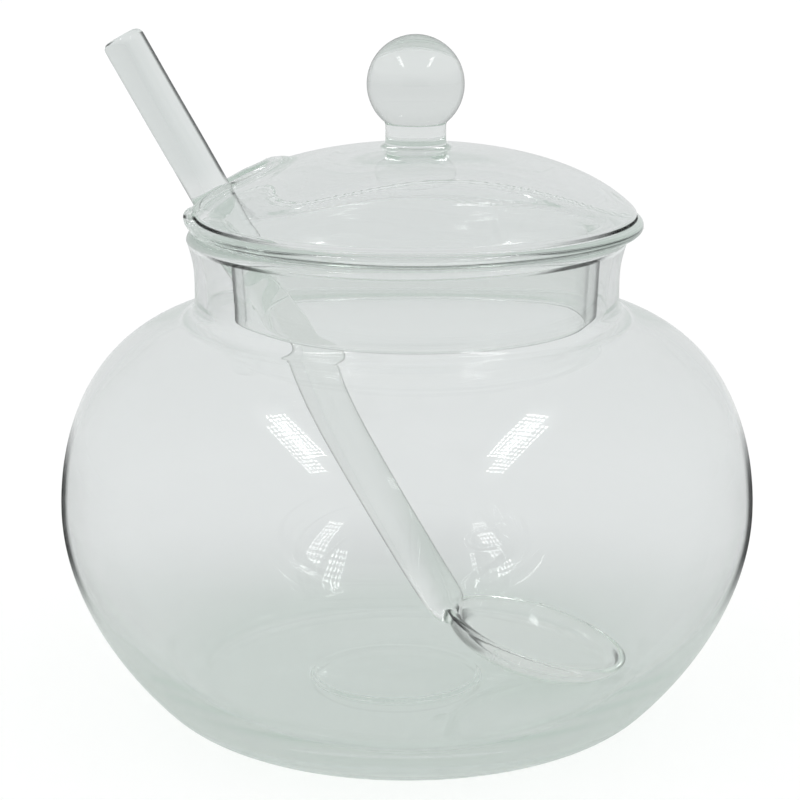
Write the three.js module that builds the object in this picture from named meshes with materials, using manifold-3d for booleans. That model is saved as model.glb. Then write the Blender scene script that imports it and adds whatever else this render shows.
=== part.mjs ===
// Condiment jar of clear blown glass: a round jar, a domed lid with a ball knob and a notch,
// and a spoon whose handle leans out through the notch. Millimetres, +Z up.
// The origin is where the jar's axis meets the surface that the jar stands on.
// Radii are measured from the axis of the piece, and heights from that surface.
import * as THREE from "three";
import { mergeVertices } from "three/addons/utils/BufferGeometryUtils.js";
import Module from "manifold-3d";

const wasm = await Module();
wasm.setup();

// The jar
const jarHeight = 74.2;
const bellyRadius = 53;
const bellyHeight = 32.4;
const bellyReachDown = 18.1;
const bellyReachUp = 5;
const footRadius = 35.5;
const footReach = 0.5;
const neckHeight = 13.1;
const shoulderReach = 17.9;
const shoulderSlope = THREE.MathUtils.degToRad(15.2);
const neckRadius = 32;
const neckFillet = 2.6;
const flareLength = 7.2;
const flareWidth = 1.1;
const lipThickness = 2.2;
const wall = 1.8;

// The base: a flat ring to stand on, and a push-up in the middle
const ringWidth = 7.5;
const baseThickness = 2;
const puntRise = 2.2;
const puntTopRadius = 8;
const puntRadius = 13.7;
const puntEdgeRise = 0.4;

// The lid, which rests on the jar's lip and hangs a collar into its neck
const seatGap = 0.2;
const lidShift = 1.3;
const lidOverhang = 1;
const lidEdgeThickness = 1.9;
const flangeThickness = 1.5;
const domeOverhang = 1.2;
const domeSink = 2.5;
const domeRise = 15;
const domeThickness = 1.7;
const collarClearance = 2.8;
const collarThickness = 1.5;
const collarDepth = 14;
const collarFillet = 0.8;

// The knob
const ballRadius = 7.25;
const ballRise = 9;
const knobNeckRadius = 4.5;
const knobFootRadius = 5.6;

// The notch in the lid and its thick melted edge
const notchDepth = 12.6;
const notchSideClearance = 1.3;
const notchTurn = THREE.MathUtils.degToRad(4.5);
const beadRadius = 1.3;
const beadSink = 0.85;
const beadSideShares = [1, 0.7, 0.35];

// The spoon: its bowl lies on the floor, and its handle leans on the inside of the lip
const handleRadius = 3.2;
const handleLength = 100.3;
const handleRounding = 0.7;
const handleLipGap = 1.5;
const spoonTurn = THREE.MathUtils.degToRad(7.3);
const bowlPitch = THREE.MathUtils.degToRad(19.3);
const bowlHalfLength = 15.1;
const bowlHalfWidth = 13.4;
const bowlDepth = 6;
const bowlThickness = 1.3;
const bowlClearance = 0.3;
const bowlEndGap = 0.33;
const bowlAside = -1.15;

// How finely the shapes are divided: round the axis, and along the curves of a profile
const jarSegments = 48;
const bowlSegments = 32;
const handleSegments = 24;
const notchSegments = 12;
const beadSides = 10;
const beadSteps = 28;
const longCurveSteps = 8;
const ballSteps = 10;
const edgeSteps = 6;
const filletSteps = 3;
const sameDistance = 1e-6;

// Sizes that follow from the ones above
const quarter = Math.PI / 2;
const ringInnerRadius = footRadius - ringWidth;
const lipRadius = neckRadius + flareWidth;
const lipRounding = lipThickness / 2;
const lipCentreHeight = jarHeight - lipRounding;
const shoulderHeight = jarHeight - neckHeight;
const flareHeight = jarHeight - flareLength;
const floorHeight = puntEdgeRise + baseThickness;
const lidUnderside = jarHeight + seatGap;
const lidRadius = lipRadius + lidOverhang;
const domeRadius = lidRadius + domeOverhang;
const collarRadius = neckRadius - wall - collarClearance;
const lidEdgeRounding = lidEdgeThickness / 2;
const lidEdgeTop = lidUnderside + lidEdgeThickness;
const flangeTop = lidUnderside + flangeThickness;
const domeCentreHeight = lidUnderside - domeSink;
const domeTopHeight = domeCentreHeight + domeRise;
const ballCentreHeight = domeTopHeight + ballRise;
const domeInnerRadius = domeRadius - domeThickness;
const domeInnerTopHeight = domeTopHeight - domeThickness;
const collarInnerRadius = collarRadius - collarThickness;
const collarRounding = collarThickness / 2;
const collarBottom = lidUnderside - collarDepth;
const notchHalfWidth = handleRadius + notchSideClearance;
const notchArcRadius = lidRadius - notchDepth + notchHalfWidth;
const bowlInnerHalfWidth = bowlHalfWidth - bowlThickness;
const bowlInnerDepth = bowlDepth - bowlThickness;
const bowlDrop = Math.hypot(bowlHalfLength * Math.sin(bowlPitch), bowlDepth * Math.cos(bowlPitch));
const bowlCentreHeight = floorHeight + bowlClearance + bowlDrop;
const bowlReach = bowlHalfLength * Math.cos(bowlPitch);
const bowlRise = bowlHalfLength * Math.sin(bowlPitch);
const bowlCentreReach = footRadius - bowlReach - bowlEndGap;
const handleStartReach = bowlCentreReach - bowlReach;
const handleLipReach = lipRadius - lipThickness - handleRadius - handleLipGap;
const handleFall = lipCentreHeight - bowlCentreHeight - bowlRise;
const handleLean = Math.atan2(handleLipReach + handleStartReach, handleFall);

function glass(color) {
  return new THREE.MeshStandardMaterial({ color, roughness: 0.04, transparent: true, opacity: 0.35 });
}

// A point of a profile: its distance from the axis and its height.
function point(radius, height) {
  return new THREE.Vector2(radius, height);
}

// Part of an ellipse of a profile, from one angle to another.
function ellipseArc(centre, halfWidth, halfHeight, start, end, steps) {
  const points = [];
  for (let i = 0; i <= steps; i++) {
    const angle = start + ((end - start) * i) / steps;
    points.push(point(centre.x + halfWidth * Math.cos(angle), centre.y + halfHeight * Math.sin(angle)));
  }
  return points;
}

function arc(centre, radius, start, end, steps) {
  return ellipseArc(centre, radius, radius, start, end, steps);
}

function bend(from, corner, to, steps) {
  return new THREE.QuadraticBezierCurve(from, corner, to).getPoints(steps);
}

function swell(from, fromControl, toControl, to, steps) {
  return new THREE.CubicBezierCurve(from, fromControl, toControl, to).getPoints(steps);
}

// Turns a profile about Z. A point that repeats the one before it is left out.
function turned(profile, segments) {
  const tidy = profile.filter((p, i) => i === 0 || p.distanceTo(profile[i - 1]) > sameDistance);
  tidy[0].x = 0;
  tidy.at(-1).x = 0;
  const geometry = new THREE.LatheGeometry(tidy, segments);
  geometry.rotateX(quarter);
  return geometry;
}

function solid(geometry) {
  const bare = geometry.clone();
  bare.deleteAttribute("normal");
  bare.deleteAttribute("uv");
  const merged = mergeVertices(bare);
  const mesh = new wasm.Mesh({
    numProp: 3,
    vertProperties: new Float32Array(merged.attributes.position.array),
    triVerts: new Uint32Array(merged.index.array),
  });
  return new wasm.Manifold(mesh);
}

function fromSolid(manifold) {
  const mesh = manifold.getMesh();
  const geometry = new THREE.BufferGeometry();
  geometry.setAttribute("position", new THREE.BufferAttribute(mesh.vertProperties, 3));
  geometry.setIndex(new THREE.BufferAttribute(mesh.triVerts, 1));
  geometry.computeVertexNormals();
  return geometry;
}

// The underside of the base, or the floor above it, from the axis out to the given radius.
function baseCurve(lift, outerRadius, outerHeight) {
  const top = point(puntTopRadius, puntRise + lift);
  const corner = point((puntTopRadius + puntRadius) / 2, puntRise + lift);
  const edge = point(puntRadius, puntEdgeRise + lift);
  const slope = bend(top, corner, edge, filletSteps);
  return [point(0, puntRise + lift), ...slope, point(outerRadius, outerHeight)];
}

// The jar's side from the foot to the lip. The inset is zero outside and the wall's thickness inside.
function jarSide(inset, foot, lip) {
  const side = bellyRadius - inset;
  const neck = neckRadius - inset;
  const belly = point(side, bellyHeight);
  const footControl = point(foot.x + footReach, foot.y);
  const lowerControl = point(side, bellyHeight - bellyReachDown);
  const lower = swell(foot, footControl, lowerControl, belly, longCurveSteps);
  const drawnDown = inset / Math.cos(shoulderSlope) - inset * Math.tan(shoulderSlope);
  const shoulder = point(neck + neckFillet, shoulderHeight - drawnDown);
  const shoulderControl = point(
    shoulder.x + shoulderReach * Math.cos(shoulderSlope),
    shoulder.y - shoulderReach * Math.sin(shoulderSlope),
  );
  const upperControl = point(side, bellyHeight + bellyReachUp);
  const upper = swell(belly, upperControl, shoulderControl, shoulder, longCurveSteps);
  const corner = point(neck, shoulder.y + neckFillet * Math.tan(shoulderSlope));
  const fillet = bend(shoulder, corner, point(neck, corner.y + neckFillet), filletSteps);
  const flare = bend(point(neck, flareHeight), point(neck, (flareHeight + lip.y) / 2), lip, filletSteps);
  return [...lower, ...upper, ...fillet, ...flare];
}

function jarGeometry() {
  const floorRadius = footRadius - wall;
  const outside = jarSide(0, point(footRadius, 0), point(lipRadius, lipCentreHeight));
  const inside = jarSide(
    wall, point(floorRadius, floorHeight), point(lipRadius - lipThickness, lipCentreHeight),
  );
  const lip = arc(point(lipRadius - lipRounding, lipCentreHeight), lipRounding, 0, Math.PI, edgeSteps);
  const floor = baseCurve(baseThickness, floorRadius, floorHeight);
  const profile = [
    ...baseCurve(0, ringInnerRadius, 0), ...outside, ...lip, ...inside.reverse(), ...floor.reverse(),
  ];
  return turned(profile, jarSegments);
}

function domeHeight(radius) {
  return domeCentreHeight + (domeTopHeight - domeCentreHeight) * Math.sqrt(1 - (radius / domeRadius) ** 2);
}

// Part of the dome's outer or inner curve, between two angles of its ellipse.
function domeCurve(halfWidth, topHeight, start, end) {
  const halfHeight = topHeight - domeCentreHeight;
  return ellipseArc(point(0, domeCentreHeight), halfWidth, halfHeight, start, end, longCurveSteps);
}

// The angle at which the dome's curve with this top has the given height.
function domeAngle(height, topHeight) {
  return Math.asin((height - domeCentreHeight) / (topHeight - domeCentreHeight));
}

function knobProfile() {
  const footHeight = domeHeight(knobFootRadius);
  const neckBottom = point(knobNeckRadius, footHeight + knobFootRadius - knobNeckRadius);
  const ballEnd = -Math.acos(knobNeckRadius / ballRadius);
  return [
    ...arc(point(0, ballCentreHeight), ballRadius, quarter, ballEnd, ballSteps),
    ...bend(neckBottom, point(knobNeckRadius, footHeight), point(knobFootRadius, footHeight), filletSteps),
  ];
}

// The flat flange turns down into the collar, whose lower edge is round.
function collarProfile() {
  const outerCorner = point(collarRadius + collarFillet, lidUnderside - collarFillet);
  const bottom = point(collarRadius - collarRounding, collarBottom + collarRounding);
  const innerCorner = point(collarInnerRadius + collarFillet, flangeTop - collarFillet);
  return [
    ...arc(outerCorner, collarFillet, quarter, Math.PI, filletSteps),
    ...arc(bottom, collarRounding, 0, -Math.PI, edgeSteps),
    ...arc(innerCorner, collarFillet, Math.PI, quarter, filletSteps),
  ];
}

function lidBody() {
  const domeStart = Math.acos(knobFootRadius / domeRadius);
  const domeEnd = domeAngle(lidEdgeTop, domeTopHeight);
  const edgeCentre = point(lidRadius - lidEdgeRounding, lidUnderside + lidEdgeRounding);
  const insideStart = domeAngle(flangeTop, domeInnerTopHeight);
  const profile = [
    ...knobProfile(),
    ...domeCurve(domeRadius, domeTopHeight, domeStart, domeEnd),
    ...arc(edgeCentre, lidEdgeRounding, quarter, -quarter, edgeSteps),
    ...collarProfile(),
    ...domeCurve(domeInnerRadius, domeInnerTopHeight, insideStart, quarter),
  ];
  return turned(profile.reverse(), jarSegments);
}

// The notch is open at the lid's edge, has a round inner end and points along -X.
function notchCutter() {
  const outside = -lidRadius - notchHalfWidth;
  const outline = new THREE.Shape();
  outline.moveTo(outside, notchHalfWidth);
  outline.lineTo(outside, -notchHalfWidth);
  outline.absarc(-notchArcRadius, 0, notchHalfWidth, -quarter, quarter, false);
  const bottom = collarBottom - collarRounding;
  const geometry = new THREE.ExtrudeGeometry(outline, {
    depth: domeTopHeight - bottom,
    bevelEnabled: false,
    curveSegments: notchSegments,
  });
  geometry.translate(0, 0, bottom);
  return geometry;
}

// The thick melted edge runs beside the notch from the lid's edge up over the dome and back.
function notchBead() {
  const startRadius = lidRadius - beadRadius;
  const lowest = lidUnderside + beadRadius;
  const reach = notchHalfWidth + beadRadius;
  const sideLength = startRadius - notchArcRadius;
  const side = beadSideShares.map((share) => point(-notchArcRadius - sideLength * share, -reach));
  const inner = arc(point(-notchArcRadius, 0), reach, -quarter, quarter, edgeSteps);
  const otherSide = side.map((p) => point(p.x, reach)).reverse();
  const path = [...side, ...inner, ...otherSide].map((p) => {
    const surface = domeHeight(Math.min(p.length(), startRadius));
    return new THREE.Vector3(p.x, p.y, Math.max(surface - beadSink, lowest));
  });
  const section = new THREE.Shape();
  section.absarc(0, 0, beadRadius, 0, 2 * Math.PI, false);
  return new THREE.ExtrudeGeometry(section, {
    steps: beadSteps,
    curveSegments: beadSides / 2,
    extrudePath: new THREE.CatmullRomCurve3(path),
  });
}

function lidGeometry() {
  return fromSolid(solid(lidBody()).add(solid(notchBead())).subtract(solid(notchCutter())));
}

// The bowl is a shallow half ellipsoid, open upwards, with its rim's centre at the origin.
// It is longer than wide, and its far end is pitched down.
function pitchedBowl(profile) {
  const geometry = turned(profile, bowlSegments);
  geometry.scale(bowlHalfLength / bowlHalfWidth, 1, 1);
  geometry.rotateY(bowlPitch);
  return geometry;
}

function bowlCurve(halfWidth, depth) {
  return ellipseArc(point(0, 0), halfWidth, depth, -quarter, 0, longCurveSteps);
}

function bowlShell() {
  const rounding = bowlThickness / 2;
  const rim = arc(point(bowlHalfWidth - rounding, 0), rounding, 0, Math.PI, edgeSteps);
  const outside = bowlCurve(bowlHalfWidth, bowlDepth);
  const inside = bowlCurve(bowlInnerHalfWidth, bowlInnerDepth);
  return pitchedBowl([...outside, ...rim, ...inside.reverse()]);
}

// What the bowl holds, and the space above it.
function bowlHollow() {
  const top = 2 * handleRadius;
  const inside = bowlCurve(bowlInnerHalfWidth, bowlInnerDepth);
  return pitchedBowl([...inside, point(bowlInnerHalfWidth, top), point(0, top)]);
}

// The round rod starts with a melted round end at the bowl's near rim and leans towards -X.
function handle() {
  const edge = point(handleRadius - handleRounding, handleLength - handleRounding);
  const profile = [
    ...arc(point(0, 0), handleRadius, -quarter, 0, edgeSteps),
    ...arc(edge, handleRounding, 0, quarter, filletSteps),
    point(0, handleLength),
  ];
  const geometry = turned(profile, handleSegments);
  geometry.rotateY(-handleLean);
  geometry.translate(-bowlReach, 0, bowlRise);
  return geometry;
}

function spoonGeometry() {
  return fromSolid(solid(handle()).subtract(solid(bowlHollow())).add(solid(bowlShell())));
}

const part = new THREE.Group();

const jar = new THREE.Mesh(jarGeometry(), glass(0xdde3e2));
jar.name = "jar";
part.add(jar);

const lid = new THREE.Mesh(lidGeometry(), glass(0xdde3e2));
lid.name = "lid";
lid.position.x = lidShift;
lid.rotation.z = -notchTurn;
part.add(lid);

// The spoon stands in an upright plane that is turned from the jar's XZ plane.
const spoon = new THREE.Mesh(spoonGeometry(), glass(0xe2e8e7));
spoon.name = "spoon";
spoon.rotation.z = -spoonTurn;
spoon.position.set(bowlCentreReach, bowlAside, bowlCentreHeight);
spoon.position.applyEuler(spoon.rotation);
part.add(spoon);

export default part;
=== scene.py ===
"""Looks of the glass condiment jar: its three glass pieces, the camera, the floor and the light.

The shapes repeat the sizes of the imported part, in millimetres, and each mesh is scaled to metres.
"""

import math

import bpy
import numpy as np
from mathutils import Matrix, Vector


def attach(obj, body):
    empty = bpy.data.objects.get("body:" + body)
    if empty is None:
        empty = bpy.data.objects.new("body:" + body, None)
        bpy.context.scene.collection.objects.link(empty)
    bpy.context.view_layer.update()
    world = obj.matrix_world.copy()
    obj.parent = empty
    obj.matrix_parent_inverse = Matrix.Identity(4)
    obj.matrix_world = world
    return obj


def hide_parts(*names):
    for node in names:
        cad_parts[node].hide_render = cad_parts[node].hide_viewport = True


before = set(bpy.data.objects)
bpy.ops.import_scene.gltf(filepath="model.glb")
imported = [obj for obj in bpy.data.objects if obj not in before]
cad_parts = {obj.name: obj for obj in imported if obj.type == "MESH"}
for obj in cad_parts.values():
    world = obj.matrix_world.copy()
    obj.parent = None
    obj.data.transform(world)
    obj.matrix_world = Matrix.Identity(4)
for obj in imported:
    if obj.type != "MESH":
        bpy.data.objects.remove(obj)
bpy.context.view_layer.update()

MM = 0.001
QUARTER = math.pi / 2

# The jar
JAR_HEIGHT = 74.2
BELLY_RADIUS = 53.0
BELLY_HEIGHT = 32.4
BELLY_REACH_DOWN = 18.1
BELLY_REACH_UP = 5.0
FOOT_RADIUS = 35.5
FOOT_REACH = 0.5
NECK_HEIGHT = 13.1
SHOULDER_REACH = 17.9
SHOULDER_SLOPE = math.radians(15.2)
NECK_RADIUS = 32.0
NECK_FILLET = 2.6
FLARE_LENGTH = 7.2
FLARE_WIDTH = 1.1
LIP_THICKNESS = 2.2
WALL = 1.8
RING_WIDTH = 7.5
BASE_THICKNESS = 2.0
PUNT_TOP_RADIUS = 8.0
PUNT_RADIUS = 13.7
PUNT_EDGE_RISE = 0.4
BELLY_WALL_SHARE = 0.55
DISC_RISE = 0.8
DISC_DISH = 0.25
DISC_EDGE = 0.9
DISC_ASIDE = (-2.9, -4.0)
DISC_ASIDE_REACH = 28.0
HEEL_OUTSIDE = 5.0
HEEL_INSIDE = 6.5
HEEL_SPREAD = 0.5

# The lid
SEAT_GAP = 0.2
LID_SHIFT = 1.3
LID_OVERHANG = 1.0
LID_EDGE_THICKNESS = 1.9
LID_CREASE = 1.1
LID_RIM_SHARE = 0.7  # how much of a quarter circle the edge's upper rounding has
FLANGE_THICKNESS = 1.5
DOME_OVERHANG = 1.2
DOME_SINK = 2.5
DOME_RISE = 15.0
DOME_THICKNESS = 1.7
DOME_THICKNESS_SHARE = 0.6
COLLAR_CLEARANCE = 2.8
COLLAR_THICKNESS = 1.5
COLLAR_DEPTH = 14.0
COLLAR_FILLET = 0.8
COLLAR_TOP_FILLET = 3.0
BALL_RADIUS = 7.25
BALL_RISE = 9.0
KNOB_NECK_RADIUS = 4.5
KNOB_FOOT_RADIUS = 5.6
NOTCH_DEPTH = 12.6
NOTCH_SIDE_CLEARANCE = 1.3
NOTCH_TURN = math.radians(4.5)
BEAD_RADIUS = 1.3
BEAD_SINK = 0.85
BEAD_LUMPS = ((0.08, 21, 0.6), (0.05, 47, 2))  # height, pace and start of each wave

# The spoon
HANDLE_RADIUS = 3.2
HANDLE_LENGTH = 100.3
HANDLE_ROUNDING = 1.1
HANDLE_LIP_GAP = 1.5
SPOON_TURN = math.radians(7.3)
BOWL_PITCH = math.radians(19.3)
BOWL_HALF_LENGTH = 15.1
BOWL_HALF_WIDTH = 13.4
BOWL_DEPTH = 6.0
BOWL_THICKNESS = 1.3
BOWL_CLEARANCE = 0.3
BOWL_END_GAP = 0.33
BOWL_ASIDE = -1.15

# How pieces melt together, how uneven they are, and how finely they are drawn
BEAD_BLEND = 1.4
NOTCH_ROUNDING = 0.7
HOLLOW_ROUNDING = 0.6
BOWL_BLEND = 1.0
LID_WAVE_HEIGHT = 0.04
LID_WAVE_LENGTH = 24
LID_WAVE_FADE = 3  # how far above the edge the waves fade, to the least share
LID_WAVE_LEAST_SHARE = 0.2
SPOON_WAVE_HEIGHT = 0.03
SPOON_WAVE_LENGTH = 14
JAR_SEGMENTS = 216
LID_SEGMENTS = 240
LID_STEP = 0.4
SPOON_STEP = 0.42
NEAR_BEAD = 4.0  # the bead and the notch are only worked out this near to them
NEAR_NOTCH = 3.0

# Sizes that follow
LIP_RADIUS = NECK_RADIUS + FLARE_WIDTH
LIP_ROUNDING = LIP_THICKNESS / 2
LIP_CENTRE_HEIGHT = JAR_HEIGHT - LIP_ROUNDING
SHOULDER_HEIGHT = JAR_HEIGHT - NECK_HEIGHT
FLARE_HEIGHT = JAR_HEIGHT - FLARE_LENGTH
FLOOR_HEIGHT = PUNT_EDGE_RISE + BASE_THICKNESS
LID_UNDERSIDE = JAR_HEIGHT + SEAT_GAP
LID_RADIUS = LIP_RADIUS + LID_OVERHANG
LID_EDGE_ROUNDING = LID_EDGE_THICKNESS / 2
LID_EDGE_TOP = LID_UNDERSIDE + LID_EDGE_THICKNESS
FLANGE_TOP = LID_UNDERSIDE + FLANGE_THICKNESS
DOME_RADIUS = LID_RADIUS + DOME_OVERHANG
DOME_CENTRE = LID_UNDERSIDE - DOME_SINK
DOME_TOP = DOME_CENTRE + DOME_RISE
BALL_CENTRE = DOME_TOP + BALL_RISE
COLLAR_RADIUS = NECK_RADIUS - WALL - COLLAR_CLEARANCE
COLLAR_INNER_RADIUS = COLLAR_RADIUS - COLLAR_THICKNESS
COLLAR_ROUNDING = COLLAR_THICKNESS / 2
COLLAR_BOTTOM = LID_UNDERSIDE - COLLAR_DEPTH
NOTCH_HALF_WIDTH = HANDLE_RADIUS + NOTCH_SIDE_CLEARANCE
NOTCH_ARC_RADIUS = LID_RADIUS - NOTCH_DEPTH + NOTCH_HALF_WIDTH
BOWL_DROP = math.hypot(BOWL_HALF_LENGTH * math.sin(BOWL_PITCH), BOWL_DEPTH * math.cos(BOWL_PITCH))
BOWL_CENTRE_HEIGHT = FLOOR_HEIGHT + BOWL_CLEARANCE + BOWL_DROP
BOWL_REACH = BOWL_HALF_LENGTH * math.cos(BOWL_PITCH)
BOWL_RISE = BOWL_HALF_LENGTH * math.sin(BOWL_PITCH)
BOWL_CENTRE_REACH = FOOT_RADIUS - BOWL_REACH - BOWL_END_GAP
HANDLE_LIP_REACH = LIP_RADIUS - LIP_THICKNESS - HANDLE_RADIUS - HANDLE_LIP_GAP
HANDLE_LEAN = math.atan2(
    HANDLE_LIP_REACH + BOWL_CENTRE_REACH - BOWL_REACH,
    LIP_CENTRE_HEIGHT - BOWL_CENTRE_HEIGHT - BOWL_RISE,
)


# Profiles: rows of (distance from the axis, height)


def arc(centre, half_width, half_height, start, end, steps=24):
    angle = np.linspace(start, end, steps + 1)
    return np.stack(
        [centre[0] + half_width * np.cos(angle), centre[1] + half_height * np.sin(angle)], 1
    )


def bend(start, corner, end, steps=12):
    t = np.linspace(0, 1, steps + 1)[:, None]
    a, b, c = (np.array(p, float) for p in (start, corner, end))
    return a * (1 - t) ** 2 + 2 * b * t * (1 - t) + c * t**2


def swell(start, start_control, end_control, end, steps=72):
    t = np.linspace(0, 1, steps + 1)[:, None]
    a, b, c, d = (np.array(p, float) for p in (start, start_control, end_control, end))
    return a * (1 - t) ** 3 + 3 * b * t * (1 - t) ** 2 + 3 * c * t**2 * (1 - t) + d * t**3


def line(start, end, steps):
    t = np.linspace(0, 1, steps + 1)[:, None]
    return np.array(start, float) * (1 - t) + np.array(end, float) * t


def joined(*runs):
    """One profile of several runs, without repeated points."""
    points = np.concatenate(runs)
    apart = np.linalg.norm(np.diff(points, axis=0), axis=1) > 1e-4
    return points[np.concatenate([[True], apart])]


def floor_curve(end):
    """The floor from the middle out: a slightly dished disc, its edge, and flat from there."""
    top = FLOOR_HEIGHT + DISC_RISE
    bottom = top - DISC_DISH
    rim = (PUNT_RADIUS - DISC_EDGE, top)
    edge = (PUNT_RADIUS, FLOOR_HEIGHT)
    dish_side = PUNT_TOP_RADIUS / 2
    edge_middle = PUNT_RADIUS - DISC_EDGE / 2
    return joined(
        swell((0, bottom), (dish_side, bottom), (dish_side, top), rim, 40),
        swell(rim, (edge_middle, top), (edge_middle, FLOOR_HEIGHT), edge, 24),
        line(edge, end, 24),
    )


def jar_side(inset, foot, lip):
    """The jar's side from the foot to the lip: the outside with an inset of zero, or the inside."""
    side, neck = BELLY_RADIUS - inset * BELLY_WALL_SHARE, NECK_RADIUS - inset
    belly = (side, BELLY_HEIGHT)
    low = (side, BELLY_HEIGHT - BELLY_REACH_DOWN)
    lower = swell(foot, (foot[0] + FOOT_REACH, foot[1]), low, belly)
    drawn_down = inset / math.cos(SHOULDER_SLOPE) - inset * math.tan(SHOULDER_SLOPE)
    shoulder = (neck + NECK_FILLET, SHOULDER_HEIGHT - drawn_down)
    control = (
        shoulder[0] + SHOULDER_REACH * math.cos(SHOULDER_SLOPE),
        shoulder[1] - SHOULDER_REACH * math.sin(SHOULDER_SLOPE),
    )
    upper = swell(belly, (side, BELLY_HEIGHT + BELLY_REACH_UP), control, shoulder)
    corner = (neck, shoulder[1] + NECK_FILLET * math.tan(SHOULDER_SLOPE))
    fillet_end = (neck, corner[1] + NECK_FILLET)
    flare = bend((neck, FLARE_HEIGHT), (neck, (FLARE_HEIGHT + lip[1]) / 2), lip)
    return joined(lower, upper, bend(shoulder, corner, fillet_end), flare)


def heeled(side, reach):
    """The side with its corner at the foot rounded off, and where the flat part ends then."""
    corner = side[0]
    start = int(np.argmax(np.linalg.norm(side - corner, axis=1) > reach))
    way = side[start + 1] - side[start]
    meet = np.array([side[start][0] - (side[start][1] - corner[1]) * way[0] / way[1], corner[1]])
    end = (meet[0] - np.linalg.norm(side[start] - meet), corner[1])
    return joined(bend(end, meet, side[start], 32), side[start:]), end


def jar_profile():
    foot_radius = FOOT_RADIUS + HEEL_SPREAD
    floor_radius = foot_radius - WALL
    lip_inside = (LIP_RADIUS - LIP_THICKNESS, LIP_CENTRE_HEIGHT)
    lip_centre = (LIP_RADIUS - LIP_ROUNDING, LIP_CENTRE_HEIGHT)
    ring_start = (FOOT_RADIUS - RING_WIDTH, 0)
    outside = jar_side(0, (foot_radius, 0), (LIP_RADIUS, LIP_CENTRE_HEIGHT))
    inside = jar_side(WALL, (floor_radius, FLOOR_HEIGHT), lip_inside)
    lip = arc(lip_centre, LIP_ROUNDING, LIP_ROUNDING, 0, math.pi)
    underside = swell(
        (0, PUNT_EDGE_RISE), (PUNT_RADIUS, PUNT_EDGE_RISE), (PUNT_RADIUS, 0), ring_start
    )
    outside, ring_end = heeled(outside, HEEL_OUTSIDE)
    inside, floor_end = heeled(inside, HEEL_INSIDE)
    floor = floor_curve(floor_end)
    ring = line(ring_start, ring_end, 10)
    return joined(underside, ring, outside, lip, inside[::-1], floor[::-1])


def dome_height(radius):
    return DOME_CENTRE + DOME_RISE * np.sqrt(1 - (radius / DOME_RADIUS) ** 2)


def lid_profile():
    """From the knob's top down the outside and back up the inside."""
    foot = float(dome_height(KNOB_FOOT_RADIUS))
    neck_bottom = (KNOB_NECK_RADIUS, foot + KNOB_FOOT_RADIUS - KNOB_NECK_RADIUS)
    ball_end = -math.acos(KNOB_NECK_RADIUS / BALL_RADIUS)
    thickness = DOME_THICKNESS * DOME_THICKNESS_SHARE
    inner_rise = DOME_RISE - thickness
    edge = (LID_RADIUS - LID_EDGE_ROUNDING, LID_UNDERSIDE + LID_EDGE_ROUNDING)
    rim = arc(edge, LID_EDGE_ROUNDING, LID_EDGE_ROUNDING, QUARTER * LID_RIM_SHARE, -QUARTER)
    crease = LID_RADIUS - LID_CREASE
    collar_fillet = (COLLAR_RADIUS + COLLAR_FILLET, LID_UNDERSIDE - COLLAR_FILLET)
    collar_end = (COLLAR_RADIUS - COLLAR_ROUNDING, COLLAR_BOTTOM + COLLAR_ROUNDING)
    top_fillet = (COLLAR_INNER_RADIUS + COLLAR_TOP_FILLET, FLANGE_TOP - COLLAR_TOP_FILLET)
    return joined(
        arc((0, BALL_CENTRE), BALL_RADIUS, BALL_RADIUS, QUARTER, ball_end, 60),
        bend(neck_bottom, (KNOB_NECK_RADIUS, foot), (KNOB_FOOT_RADIUS, foot)),
        arc(
            (0, DOME_CENTRE), DOME_RADIUS, DOME_RISE,
            math.acos(KNOB_FOOT_RADIUS / DOME_RADIUS), math.acos(crease / DOME_RADIUS), 60,
        ),
        bend((crease, float(dome_height(crease))), (crease, LID_EDGE_TOP), rim[0]),
        rim,
        arc(collar_fillet, COLLAR_FILLET, COLLAR_FILLET, QUARTER, math.pi, 8),
        arc(collar_end, COLLAR_ROUNDING, COLLAR_ROUNDING, 0, -math.pi),
        arc(top_fillet, COLLAR_TOP_FILLET, COLLAR_TOP_FILLET, math.pi, QUARTER, 16),
        arc(
            (0, DOME_CENTRE), DOME_RADIUS - thickness, inner_rise,
            math.asin((FLANGE_TOP - DOME_CENTRE) / inner_rise), QUARTER, 60,
        ),
    )


def bowl_profile():
    rounding = BOWL_THICKNESS / 2
    return joined(
        arc((0, 0), BOWL_HALF_WIDTH, BOWL_DEPTH, -QUARTER, 0, 60),
        arc((BOWL_HALF_WIDTH - rounding, 0), rounding, rounding, 0, math.pi),
        arc((0, 0), BOWL_HALF_WIDTH - BOWL_THICKNESS, BOWL_DEPTH - BOWL_THICKNESS, 0, -QUARTER, 60),
    )


def handle_profile():
    edge = (HANDLE_RADIUS - HANDLE_ROUNDING, HANDLE_LENGTH - HANDLE_ROUNDING)
    return joined(
        arc((0, 0), HANDLE_RADIUS, HANDLE_RADIUS, -QUARTER, 0),
        arc(edge, HANDLE_ROUNDING, HANDLE_ROUNDING, 0, QUARTER, 8),
        [(0, HANDLE_LENGTH)],
    )


# Distance fields: negative inside the glass, in millimetres


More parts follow.
